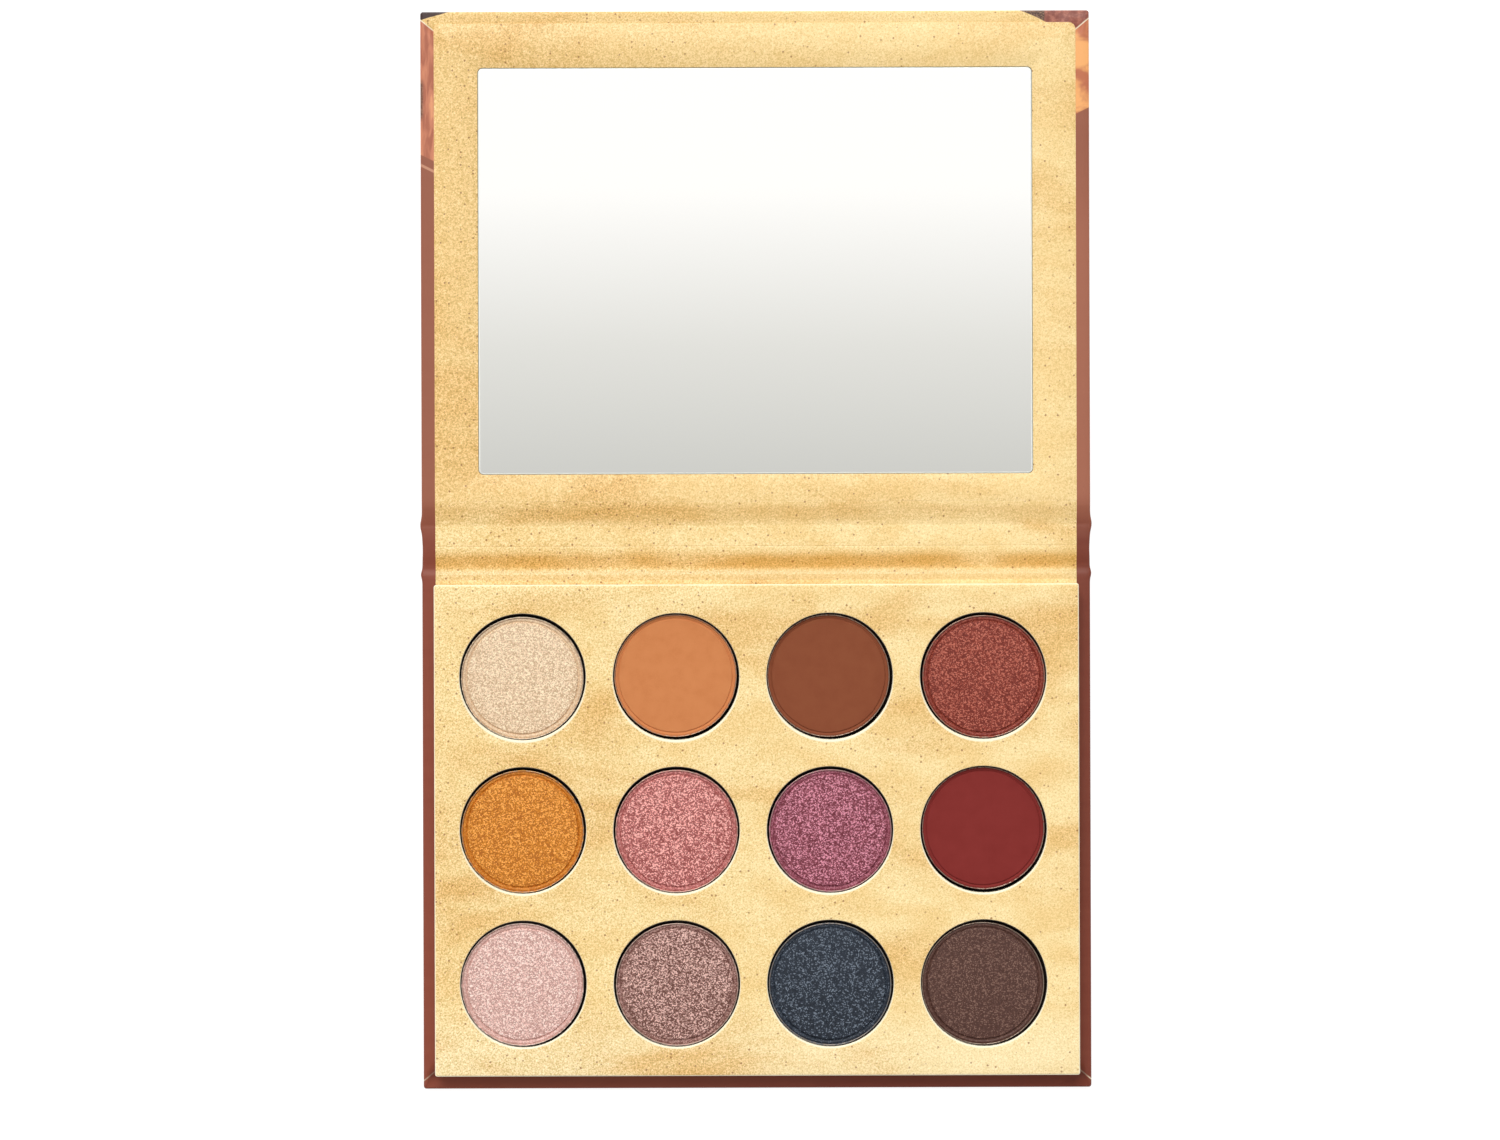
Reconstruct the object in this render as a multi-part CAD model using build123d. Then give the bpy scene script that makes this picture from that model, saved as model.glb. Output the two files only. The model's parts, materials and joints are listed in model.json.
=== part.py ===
from build123d import *
import os

# Book-style eyeshadow palette, lying open and flat. Millimetres, +Z up.
# The origin is the centre of the open palette's footprint, on the surface it lies on.
# +Y runs from the tray towards the lid, +X to the right.

# Case: two panels of equal length and a spine between two creases.
CASE_WIDTH = 142.5
PANEL_LENGTH = 109.7
SPINE_PITCH = 10.2
PAPER = 0.2
BOARD = 1.5
FRAME_BOARD = 1.0
SPINE_BOARD = 1.0
TURN_IN = 10.0
BASE_GAP = 0.8
LID_GAP = 3.9
SPINE_BOARD_FRONT = -1.9
SPINE_BOARD_BACK = 3.3
CREASE_CLEARANCE = 0.25

# Liner paper inside the case.
LINER_WIDTH = 136.7
LINER_MARGIN = 2.6
LINER_TAIL_MARGIN = 4.4
LINER_CORNER = 1.5

# Mirror in the lid.
MIRROR_WIDTH = 118.0
MIRROR_LENGTH = 86.5
MIRROR_THICKNESS = 1.0
MIRROR_FROM_CREASE = 11.1
MIRROR_CORNER = 1.0
MIRROR_CLEARANCE = 0.15
TAPE = 0.1
TAPE_MARGIN = 1.0

# Tray glued on the base.
TRAY_WIDTH = 136.6
TRAY_LENGTH = 104.1
TRAY_FRONT_MARGIN = 3.4
TRAY_CORNER = 0.8
TRAY_GLUE = 0.1
TRAY_GLUE_MARGIN = 2.0
TRAY_FLOOR = 0.5
TRAY_FACE = 1.0
TRAY_TOP = 7.5
WALL_WIDTH = 4.0
RIB_WIDTH = 3.0

# Pans and powder cakes.
COLUMNS = 4
ROWS = 3
PITCH = 32.5
GRID_SHIFT = -0.8
HOLE_DIAMETER = 26.6
PAN_DIAMETER = 26.0
PAN_HEIGHT = 4.0
PAN_WALL = 0.25
PAN_BOTTOM_RADIUS = 0.8
PAD_DIAMETER = 16.0
PAD_THICKNESS = 0.3
POWDER_BELOW_RIM = 0.3
POWDER_BEVEL = 0.25

# Closure magnets, one pair in the lid and one in the tray.
MAGNET_DIAMETER = 5.0
MAGNET_INSET = 7.5

# Places worked out from the sizes above.
HALF_WIDTH = CASE_WIDTH / 2
CREASE = SPINE_PITCH / 2
HALF_LENGTH = CREASE + PANEL_LENGTH
BASE_TOP = PAPER + BOARD
LID_BOARD_TOP = PAPER + BOARD
LID_TOP = LID_BOARD_TOP + FRAME_BOARD
SPINE_TOP = PAPER + SPINE_BOARD
TRAY_FRONT = -HALF_LENGTH + TRAY_FRONT_MARGIN
TRAY_BACK = TRAY_FRONT + TRAY_LENGTH
TRAY_MIDDLE = (TRAY_FRONT + TRAY_BACK) / 2
TRAY_BOTTOM = BASE_TOP + PAPER + TRAY_GLUE
TRAY_INNER = TRAY_WIDTH / 2 - PAPER
FLOOR_TOP = TRAY_BOTTOM + TRAY_FLOOR
FACE_TOP = TRAY_TOP - PAPER
FACE_BOTTOM = FACE_TOP - TRAY_FACE
PAN_BOTTOM = FLOOR_TOP + PAD_THICKNESS
POWDER_RADIUS = PAN_DIAMETER / 2 - PAN_WALL
MIRROR_FRONT = CREASE + MIRROR_FROM_CREASE
MIRROR_MIDDLE = MIRROR_FRONT + MIRROR_LENGTH / 2
MAGNET_XS = [GRID_SHIFT - PITCH, GRID_SHIFT + PITCH]
MAGNET_Y = HALF_LENGTH - MAGNET_INSET


def slab(half_width, y_a, y_b, z_low, z_high):
    """A block centred on X, between two places along Y and two heights."""
    middle = Pos(0, (y_a + y_b) / 2, (z_low + z_high) / 2)
    return middle * Box(2 * half_width, abs(y_b - y_a), z_high - z_low)


def disc(x, y, radius, z_low, z_high):
    return Pos(x, y, (z_low + z_high) / 2) * Cylinder(radius, z_high - z_low)


def rounded_slab(width, length, corner, x, y, z_low, z_high):
    """A block with its four upright edges rounded."""
    outline = Pos(x, y, z_low) * RectangleRounded(width, length, corner)
    return extrude(outline, amount=z_high - z_low, dir=(0, 0, 1))


def well_centres():
    """Row, column and centre of each pan, row 1 at the back and column 1 at the left."""
    centres = []
    for row in range(ROWS):
        for column in range(COLUMNS):
            x = GRID_SHIFT + (column - (COLUMNS - 1) / 2) * PITCH
            y = TRAY_MIDDLE + ((ROWS - 1) / 2 - row) * PITCH
            centres.append((row + 1, column + 1, x, y))
    return centres


def panel_board(side, gap, z_low, z_high):
    """A panel's board. The paper's turn-ins are pressed flush into its rim."""
    crease_edge = side * (CREASE + gap)
    body = slab(HALF_WIDTH - PAPER, crease_edge, side * (HALF_LENGTH - PAPER), z_low, z_high - PAPER)
    plateau = slab(HALF_WIDTH - TURN_IN, crease_edge, side * (HALF_LENGTH - TURN_IN), z_high - PAPER, z_high)
    return body + plateau


def panel_wrap(side, gap, height):
    """Printed paper round a panel: outer face, three edges, turn-ins, and a flap to the crease."""
    crease_edge = side * (CREASE + gap)
    outer = slab(HALF_WIDTH, crease_edge, side * HALF_LENGTH, 0, height)
    cavity = slab(HALF_WIDTH - PAPER, crease_edge, side * (HALF_LENGTH - PAPER), PAPER, height - PAPER)
    window = slab(HALF_WIDTH - TURN_IN, crease_edge, side * (HALF_LENGTH - TURN_IN), height - PAPER, height)
    flap = slab(HALF_WIDTH, side * CREASE, crease_edge, 0, PAPER)
    return outer - cavity - window + flap


def spine_board():
    low = slab(HALF_WIDTH - PAPER, SPINE_BOARD_FRONT, SPINE_BOARD_BACK, PAPER, SPINE_TOP - PAPER)
    plateau = slab(HALF_WIDTH - TURN_IN, SPINE_BOARD_FRONT, SPINE_BOARD_BACK, SPINE_TOP - PAPER, SPINE_TOP)
    return low + plateau


def spine_wrap():
    """Printed paper under the spine, from crease to crease, folded over the spine board's two ends."""
    outer = slab(HALF_WIDTH, SPINE_BOARD_FRONT, SPINE_BOARD_BACK, 0, SPINE_TOP)
    cavity = slab(HALF_WIDTH - PAPER, SPINE_BOARD_FRONT, SPINE_BOARD_BACK, PAPER, SPINE_TOP - PAPER)
    window = slab(HALF_WIDTH - TURN_IN, SPINE_BOARD_FRONT, SPINE_BOARD_BACK, SPINE_TOP - PAPER, SPINE_TOP)
    sheet = slab(HALF_WIDTH, -CREASE, CREASE, 0, PAPER)
    return outer - cavity - window + sheet


def liner_step(y_crease_end, y_board_edge, y_over_board, top):
    """Liner that lies in the hinge gap, climbs the board's edge and reaches over the board."""
    half = LINER_WIDTH / 2
    towards_gap = PAPER if y_crease_end > y_board_edge else -PAPER
    foot = slab(half, y_crease_end, y_board_edge, PAPER, 2 * PAPER)
    riser = slab(half, y_board_edge, y_board_edge + towards_gap, PAPER, top + PAPER)
    over = slab(half, y_board_edge + towards_gap, y_over_board, top, top + PAPER)
    return foot + riser + over


def base_liner():
    foot_end = -CREASE - CREASE_CLEARANCE
    return liner_step(foot_end, -CREASE - BASE_GAP, -HALF_LENGTH + LINER_TAIL_MARGIN, BASE_TOP)


def spine_liner():
    middle = (SPINE_BOARD_FRONT + SPINE_BOARD_BACK) / 2
    front = liner_step(-CREASE + CREASE_CLEARANCE, SPINE_BOARD_FRONT, middle, SPINE_TOP)
    back = liner_step(CREASE - CREASE_CLEARANCE, SPINE_BOARD_BACK, middle, SPINE_TOP)
    return front + back


def mirror_window(z_low, z_high):
    """The opening round the mirror in the frame board and in the liner."""
    width = MIRROR_WIDTH + 2 * MIRROR_CLEARANCE
    length = MIRROR_LENGTH + 2 * MIRROR_CLEARANCE
    return rounded_slab(width, length, MIRROR_CORNER, 0, MIRROR_MIDDLE, z_low, z_high)


def lid_liner():
    """Liner round the mirror, down over the lid board's hinge edge and into the gap."""
    board_edge = CREASE + LID_GAP
    step = liner_step(CREASE + CREASE_CLEARANCE, board_edge, board_edge + PAPER, LID_TOP)
    length = HALF_LENGTH - LINER_MARGIN - board_edge
    middle = board_edge + length / 2
    face = rounded_slab(LINER_WIDTH, length, LINER_CORNER, 0, middle, LID_TOP, LID_TOP + PAPER)
    square_end = slab(LINER_WIDTH / 2, board_edge, board_edge + LINER_CORNER, LID_TOP, LID_TOP + PAPER)
    return step + face + square_end - mirror_window(LID_TOP, LID_TOP + PAPER)


def lid_frame_board():
    """Board frame round the mirror, with two holes for the magnets."""
    board = panel_board(1, LID_GAP, LID_BOARD_TOP, LID_TOP) - mirror_window(LID_BOARD_TOP, LID_TOP)
    for x in MAGNET_XS:
        board -= disc(x, MAGNET_Y, MAGNET_DIAMETER / 2, LID_BOARD_TOP, LID_TOP)
    return board


def lid_board():
    return slab(HALF_WIDTH - PAPER, CREASE + LID_GAP, HALF_LENGTH - PAPER, PAPER, LID_BOARD_TOP)


def mirror():
    low = LID_BOARD_TOP + TAPE
    high = low + MIRROR_THICKNESS
    return rounded_slab(MIRROR_WIDTH, MIRROR_LENGTH, MIRROR_CORNER, 0, MIRROR_MIDDLE, low, high)


def mirror_tape():
    half = MIRROR_WIDTH / 2 - TAPE_MARGIN
    front = MIRROR_FRONT + TAPE_MARGIN
    back = MIRROR_FRONT + MIRROR_LENGTH - TAPE_MARGIN
    return slab(half, front, back, LID_BOARD_TOP, LID_BOARD_TOP + TAPE)


def magnet_pair(y, z_low, z_high):
    return Compound([disc(x, y, MAGNET_DIAMETER / 2, z_low, z_high) for x in MAGNET_XS])


def tray_glue_sheet():
    half = TRAY_WIDTH / 2 - TRAY_GLUE_MARGIN
    front = TRAY_FRONT + TRAY_GLUE_MARGIN
    back = TRAY_BACK - TRAY_GLUE_MARGIN
    return slab(half, front, back, TRAY_BOTTOM - TRAY_GLUE, TRAY_BOTTOM)


def tray_floor():
    return slab(TRAY_INNER, TRAY_FRONT + PAPER, TRAY_BACK - PAPER, TRAY_BOTTOM, FLOOR_TOP)


def tray_walls():
    """Four card strips that hold the tray's face up along its sides."""
    front = TRAY_FRONT + PAPER
    back = TRAY_BACK - PAPER
    height = FACE_BOTTOM - FLOOR_TOP
    level = (FACE_BOTTOM + FLOOR_TOP) / 2
    side_length = back - front - 2 * WALL_WIDTH
    side_x = TRAY_INNER - WALL_WIDTH / 2
    strips = [slab(TRAY_INNER, front, front + WALL_WIDTH, FLOOR_TOP, FACE_BOTTOM)]
    strips.append(slab(TRAY_INNER, back - WALL_WIDTH, back, FLOOR_TOP, FACE_BOTTOM))
    for x in (-side_x, side_x):
        strips.append(Pos(x, TRAY_MIDDLE, level) * Box(WALL_WIDTH, side_length, height))
    return Compound(strips)


def tray_ribs():
    """Two card bars under the face, between the rows of pans."""
    half = TRAY_INNER - WALL_WIDTH
    bars = []
    for y in (TRAY_MIDDLE - PITCH / 2, TRAY_MIDDLE + PITCH / 2):
        bars.append(slab(half, y - RIB_WIDTH / 2, y + RIB_WIDTH / 2, FLOOR_TOP, FACE_BOTTOM))
    return Compound(bars)


def tray_face_board():
    """Board under the tray's printed face, with twelve pan holes and two magnet holes."""
    board = slab(TRAY_INNER, TRAY_FRONT + PAPER, TRAY_BACK - PAPER, FACE_BOTTOM, FACE_TOP)
    for _, _, x, y in well_centres():
        board -= disc(x, y, HOLE_DIAMETER / 2, FACE_BOTTOM, FACE_TOP)
    for x in MAGNET_XS:
        board -= disc(x, -MAGNET_Y, MAGNET_DIAMETER / 2, FACE_BOTTOM, FACE_TOP)
    return board


def tray_wrap():
    """Printed paper over the tray's face and down its four sides."""
    skin = rounded_slab(TRAY_WIDTH, TRAY_LENGTH, TRAY_CORNER, 0, TRAY_MIDDLE, TRAY_BOTTOM, TRAY_TOP)
    skin -= slab(TRAY_INNER, TRAY_FRONT + PAPER, TRAY_BACK - PAPER, TRAY_BOTTOM, FACE_TOP)
    for _, _, x, y in well_centres():
        skin -= disc(x, y, HOLE_DIAMETER / 2, FACE_TOP, TRAY_TOP)
    return skin


def pan_glue_pads():
    top = PAN_BOTTOM
    return Compound([disc(x, y, PAD_DIAMETER / 2, FLOOR_TOP, top) for _, _, x, y in well_centres()])


def cup(radius, bottom_radius, z_low, z_high):
    """A disc with its lower edge rounded, on the Z axis."""
    body = disc(0, 0, radius, z_low, z_high)
    return fillet(body.edges().sort_by(Axis.Z)[0], bottom_radius)


def pan():
    """Pressed tin pan, open at the top."""
    rim = PAN_BOTTOM + PAN_HEIGHT
    outer = cup(PAN_DIAMETER / 2, PAN_BOTTOM_RADIUS, PAN_BOTTOM, rim)
    return outer - cup(POWDER_RADIUS, PAN_BOTTOM_RADIUS - PAN_WALL, PAN_BOTTOM + PAN_WALL, rim)


def powder():
    """Pressed powder cake that fills the pan to just under its rim."""
    top = PAN_BOTTOM + PAN_HEIGHT - POWDER_BELOW_RIM
    cake = cup(POWDER_RADIUS, PAN_BOTTOM_RADIUS - PAN_WALL, PAN_BOTTOM + PAN_WALL, top)
    return chamfer(cake.edges().sort_by(Axis.Z)[-1], POWDER_BEVEL)


def write(name, shape):
    export_step(shape, f"parts/{name}.step")
    print(name, len(shape.solids()), "solids", round(shape.volume, 2), "mm3")


os.makedirs("parts", exist_ok=True)

# Case.
write("base_board", panel_board(-1, BASE_GAP, PAPER, BASE_TOP))
write("spine_board", spine_board())
write("lid_board", lid_board())
write("lid_frame_board", lid_frame_board())
write("base_wrap", panel_wrap(-1, BASE_GAP, BASE_TOP))
write("spine_wrap", spine_wrap())
write("lid_wrap", panel_wrap(1, LID_GAP, LID_TOP))
write("base_liner", base_liner())
write("spine_liner", spine_liner())
write("lid_liner", lid_liner())

# Mirror and magnets.
write("mirror", mirror())
write("mirror_tape", mirror_tape())
write("lid_magnets", magnet_pair(MAGNET_Y, LID_BOARD_TOP, LID_TOP - PAPER))
write("tray_magnets", magnet_pair(-MAGNET_Y, FACE_BOTTOM, FACE_TOP))

# Tray.
write("tray_glue_sheet", tray_glue_sheet())
write("tray_floor", tray_floor())
write("tray_walls", tray_walls())
write("tray_ribs", tray_ribs())
write("tray_face_board", tray_face_board())
write("tray_wrap", tray_wrap())

# Pans and powders.
write("pan_glue_pads", pan_glue_pads())
for row, column, x, y in well_centres():
    write(f"pan_r{row}c{column}", Pos(x, y, 0) * pan())
    write(f"powder_r{row}c{column}", Pos(x, y, 0) * powder())
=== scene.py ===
"""Looks for the eyeshadow palette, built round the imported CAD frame.

Lengths are millimetres until a mesh is made."""

import json
import math

import bmesh
import bpy
import numpy as np
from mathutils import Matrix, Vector, noise


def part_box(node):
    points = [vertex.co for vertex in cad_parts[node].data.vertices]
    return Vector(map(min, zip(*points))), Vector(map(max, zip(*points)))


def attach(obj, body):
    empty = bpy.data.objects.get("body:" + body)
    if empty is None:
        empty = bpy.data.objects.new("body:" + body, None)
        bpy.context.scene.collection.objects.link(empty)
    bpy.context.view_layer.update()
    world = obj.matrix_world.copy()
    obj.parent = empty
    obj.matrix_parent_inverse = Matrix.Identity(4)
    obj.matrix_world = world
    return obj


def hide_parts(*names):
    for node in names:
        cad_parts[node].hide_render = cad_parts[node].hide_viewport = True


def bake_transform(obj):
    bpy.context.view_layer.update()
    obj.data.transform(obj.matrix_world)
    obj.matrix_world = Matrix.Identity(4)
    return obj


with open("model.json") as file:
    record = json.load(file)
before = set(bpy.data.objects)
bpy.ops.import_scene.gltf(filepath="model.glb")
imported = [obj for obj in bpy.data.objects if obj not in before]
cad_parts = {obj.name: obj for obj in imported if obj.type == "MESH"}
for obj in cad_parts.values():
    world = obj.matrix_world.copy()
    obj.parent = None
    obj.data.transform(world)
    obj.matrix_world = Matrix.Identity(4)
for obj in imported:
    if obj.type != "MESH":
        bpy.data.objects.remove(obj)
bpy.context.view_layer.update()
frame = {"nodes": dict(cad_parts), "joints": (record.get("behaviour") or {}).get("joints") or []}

MM = 0.001


def box_mm(node):
    """A CAD node's lowest and highest corners, in millimetres."""
    low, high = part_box(node)
    return low / MM, high / MM


# ---------------------------------------------------------------- places, from the frame
BASE_HIGH = box_mm("base_wrap")[1]
LID_HIGH = box_mm("lid_wrap")[1]
LINER_HIGH = box_mm("lid_liner")[1]
TRAY_LOW, TRAY_HIGH = box_mm("tray_wrap")
MIRROR_LOW, MIRROR_HIGH = box_mm("mirror")
BASE_CREASE, LID_CREASE = [joint["pos_m"][1] / MM for joint in frame["joints"]]
HALF_WIDTH = BASE_HIGH.x
HALF_LENGTH = LID_HIGH.y
LINER_HALF = LINER_HIGH.x
BASE_TOP = BASE_HIGH.z
LID_TOP = LID_HIGH.z
PAPER = 0.2
TURN_IN = 10.0
WELLS = [(row, column) for row in (1, 2, 3) for column in (1, 2, 3, 4)]
HOLE_RADIUS = 13.3

# The printed skin's holes are cut a little wider than the board's and sit a little towards the back.
SKIN_RADIUS = HOLE_RADIUS + 0.07
SKIN_OFFSET = (0.04, 0.10)

# Where the printed sheets are cut in two, on the spine.
SEAM = 0.8

# Points of one mesh nearer than this become one.
MERGE = 0.002

# The liner's upper face through the hinge: place along Y, then height.
FLAT_BASE, FLAT_LID = BASE_TOP + PAPER, LID_TOP + PAPER
HINGE_PROFILE = [
    (-200.0, FLAT_BASE),
    (BASE_CREASE - 1.9, FLAT_BASE),
    (BASE_CREASE - 0.9, FLAT_BASE - 0.01),
    (BASE_CREASE - 0.1, FLAT_BASE - 0.06),
    (BASE_CREASE + 0.4, FLAT_BASE - 0.20),
    (BASE_CREASE + 1.1, FLAT_BASE - 0.34),
    (-3.1, 1.62),
    (-1.4, 2.00),
    (0.0, 2.17),
    (2.2, 2.26),
    (LID_CREASE - 0.2, 2.20),
    (LID_CREASE + 0.2, 2.14),
    (LID_CREASE + 1.5, 2.36),
    (LID_CREASE + 4.2, FLAT_LID - 0.05),
    (LID_CREASE + 5.3, FLAT_LID),
    (200.0, FLAT_LID),
]


# ---------------------------------------------------------------- small tools
def srgb(red, green, blue):
    """A colour given as it looks on screen, 0 to 255, as linear RGBA."""
    linear = []
    for value in (red, green, blue):
        value /= 255
        value = value / 12.92 if value <= 0.04045 else ((value + 0.055) / 1.055) ** 2.4
        linear.append(value)
    return (*linear, 1.0)


def along(knots, place):
    """A height between knots, on straight runs."""
    for (y_a, z_a), (y_b, z_b) in zip(knots, knots[1:]):
        if y_a <= place <= y_b:
            return z_a + (z_b - z_a) * (place - y_a) / (y_b - y_a)
    return knots[-1][1]


def bell(place, middle, width):
    return math.exp(-(((place - middle) / width) ** 2))


def steps(start, end, step):
    """Evenly spaced numbers from start to end, both included."""
    count = max(1, round(abs(end - start) / step))
    return [start + (end - start) * i / count for i in range(count + 1)]


def make(name, points, faces, material, body=None, smooth=True, merge=0.0):
    """A mesh object from points in millimetres."""
    mesh = bpy.data.meshes.new(name)
    mesh.from_pydata([Vector(p) * MM for p in points], [], faces)
    work = bmesh.new()
    work.from_mesh(mesh)
    if merge:
        bmesh.ops.remove_doubles(work, verts=work.verts, dist=merge * MM)
    bmesh.ops.recalc_face_normals(work, faces=work.faces)
    work.to_mesh(mesh)
    work.free()
    obj = bpy.data.objects.new(name, mesh)
    bpy.context.scene.collection.objects.link(obj)
    mesh.materials.append(material)
    for polygon in mesh.polygons:
        polygon.use_smooth = smooth
    if body:
        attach(obj, body)
    return obj


def apply_modifiers(obj):
    """Keeps the result of the object's modifiers as its mesh."""
    graph = bpy.context.evaluated_depsgraph_get()
    mesh = bpy.data.meshes.new_from_object(obj.evaluated_get(graph))
    obj.modifiers.clear()
    obj.data = mesh


def thicken(obj, thickness, bevel=0.0):
    """Gives a sheet its thickness, downwards, and a small bevel on its cut edges."""
    solid = obj.modifiers.new("thickness", "SOLIDIFY")
    solid.thickness = thickness * MM
    solid.offset = -1
    if bevel:
        edge = obj.modifiers.new("edge", "BEVEL")
        edge.width = bevel * MM
        edge.segments = 2
        edge.limit_method = "ANGLE"
        edge.angle_limit = math.radians(50)
    apply_modifiers(obj)


def keep_rest_place(obj):
    """Stores where each point is and how far each face looks up or down at rest, for the print to follow."""
    places = np.zeros(len(obj.data.vertices) * 3, np.float32)
    obj.data.vertices.foreach_get("co", places)
    attribute = obj.data.attributes.new("rest", "FLOAT_VECTOR", "POINT")
    attribute.data.foreach_set("vector", places)
    facing = np.array([abs(polygon.normal.z) for polygon in obj.data.polygons], np.float32)
    obj.data.attributes.new("facing", "FLOAT", "FACE").data.foreach_set("value", facing)


# ---------------------------------------------------------------- material tools
class Tree:
    """A material's or the world's nodes, built with short calls. Any input takes a socket or a plain value."""

    def __init__(self, name, owner=None):
        self.material = owner or bpy.data.materials.new(name)
        self.material.use_nodes = True
        self.nodes = self.material.node_tree.nodes
        self.links = self.material.node_tree.links
        self.shader = self.nodes.get("Principled BSDF")

    def put(self, socket, value):
        if isinstance(value, bpy.types.NodeSocket):
            self.links.new(value, socket)
        else:
            socket.default_value = value

    def node(self, kind, inputs, **settings):
        made = self.nodes.new(kind)
        for key, value in settings.items():
            setattr(made, key, value)
        for key, value in inputs.items():
            self.put(made.inputs[key], value)
        return made

    def place(self, attribute=None):
        """Place on the piece at rest, in millimetres."""
        if attribute:
            source = self.node("ShaderNodeAttribute", {}, attribute_name=attribute).outputs["Vector"]
        else:
            source = self.nodes.new("ShaderNodeTexCoord").outputs["Object"]
        scale = (1 / MM, 1 / MM, 1 / MM)
        return self.node("ShaderNodeVectorMath", {0: source, 1: scale}, operation="MULTIPLY").outputs[0]

    def split(self, vector):
        parts = self.node("ShaderNodeSeparateXYZ", {0: vector}).outputs
        return parts[0], parts[1], parts[2]

    def join(self, x, y, z):
        return self.node("ShaderNodeCombineXYZ", {0: x, 1: y, 2: z}).outputs[0]

    def math(self, operation, a, b=0.0):
        return self.node("ShaderNodeMath", {0: a, 1: b}, operation=operation).outputs[0]

    def add(self, a, b):
        return self.math("ADD", a, b)

    def sub(self, a, b):
        return self.math("SUBTRACT", a, b)

    def mul(self, a, b):
        return self.math("MULTIPLY", a, b)

    def step(self, value, low, high):
        """0 below low, 1 above high, smooth between."""
        inputs = {"Value": value, "From Min": low, "From Max": high}
        return self.node("ShaderNodeMapRange", inputs, interpolation_type="SMOOTHSTEP").outputs[0]

    def stripe(self, value, edges):
        """1 between two soft edges, each given by where it starts and ends; 0 outside them."""
        return self.mul(self.step(value, *edges[:2]), self.sub(1.0, self.step(value, *edges[2:])))

    def scaled(self, place, x, y, z, turn=0.0):
        inputs = {"Vector": place, "Rotation": (0, 0, math.radians(turn)), "Scale": (x, y, z)}
        return self.node("ShaderNodeMapping", inputs).outputs[0]

    def noise(self, place, scale=1.0, detail=2.0, rough=0.5, warp=0.0):
        inputs = {"Vector": place, "Scale": scale, "Detail": detail, "Roughness": rough, "Distortion": warp}
        return self.node("ShaderNodeTexNoise", inputs).outputs["Fac"]

    def cells(self, place, scale):
        """Random cells: distance from each cell's middle, and the cell's random colour."""
        made = self.node("ShaderNodeTexVoronoi", {"Vector": place, "Scale": scale})
        return made.outputs["Distance"], made.outputs["Color"]

    def mix(self, share, a, b, blend="MIX"):
        made = self.nodes.new("ShaderNodeMix")
        made.data_type = "RGBA"
        made.blend_type = blend
        self.put(made.inputs[0], share)
        self.put(made.inputs[6], a)
        self.put(made.inputs[7], b)
        return made.outputs[2]

    def ramp(self, value, stops):
        """A colour ramp from (position, colour) stops."""
        made = self.node("ShaderNodeValToRGB", {0: value})
        band = made.color_ramp
        while len(band.elements) < len(stops):
            band.elements.new(0.5)
        for element, (position, colour) in zip(band.elements, stops):
            element.position = position
            element.color = colour
        return made.outputs[0]

    def bump(self, height, strength, distance):
        inputs = {"Height": height, "Strength": strength, "Distance": distance * MM}
        self.put(self.shader.inputs["Normal"], self.node("ShaderNodeBump", inputs).outputs[0])

    def upward(self):
        """How far the surface faces up or down, from 0 at a cut edge to 1 on a flat face."""
        inputs = {"Vector": self.nodes.new("ShaderNodeNewGeometry").outputs["Normal"]}
        turned = self.node("ShaderNodeVectorTransform", inputs, vector_type="NORMAL", convert_to="OBJECT")
        return self.math("ABSOLUTE", self.split(turned.outputs[0])[2])

    def finish(self, colour, roughness, metallic=0.0, specular=0.5):
        self.put(self.shader.inputs["Base Color"], colour)
        self.put(self.shader.inputs["Roughness"], roughness)
        self.put(self.shader.inputs["Metallic"], metallic)
        self.put(self.shader.inputs["Specular IOR Level"], specular)
        return self.material


# ---------------------------------------------------------------- printed paper
CREAM = srgb(252, 226, 168)
CREAM_PALE = srgb(254, 236, 190)
CREAM_DEEP = srgb(244, 211, 146)
TAN = srgb(226, 180, 106)
# Tan of the hinge bands: print, and also painted warm shade.
RUST_SAND_AND_SHADE = srgb(209, 154, 54)
SPECK = srgb(138, 74, 22)
# The paper's core colour, also used for the painted highlight on the tray's rolled edges.
PAPER_CORE_AND_HIGHLIGHT = srgb(250, 242, 214)
INK_BLACK = srgb(30, 22, 18)
# Colour of the painted shade in the valley behind the tray.
VALLEY_SHADE_COLOUR = srgb(221, 195, 138)

# Stripes across the hinge, along Y: where each soft edge starts and ends. The front and back bands are tan
# print and also painted warm shade on the hinge slopes that face away from the key light; the valley stripe is
# painted shade behind the tray.
FRONT_BAND_AND_SHADE = (-5.0, -3.2, -1.8, 0.6)
BACK_BAND_AND_SHADE = (5.6, 7.0, 8.2, 10.5)
PAINTED_VALLEY_SHADE = (-6.6, -6.2, -4.7, -4.0)
LID_RISE = (7.0, 9.0, 14.0, 18.0)

# Two sizes of dark speck: cells per millimetre, how common and how strong.
SPECKS = ((1.15, 0.16, 0.75), (2.1, 0.20, 0.42))


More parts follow.
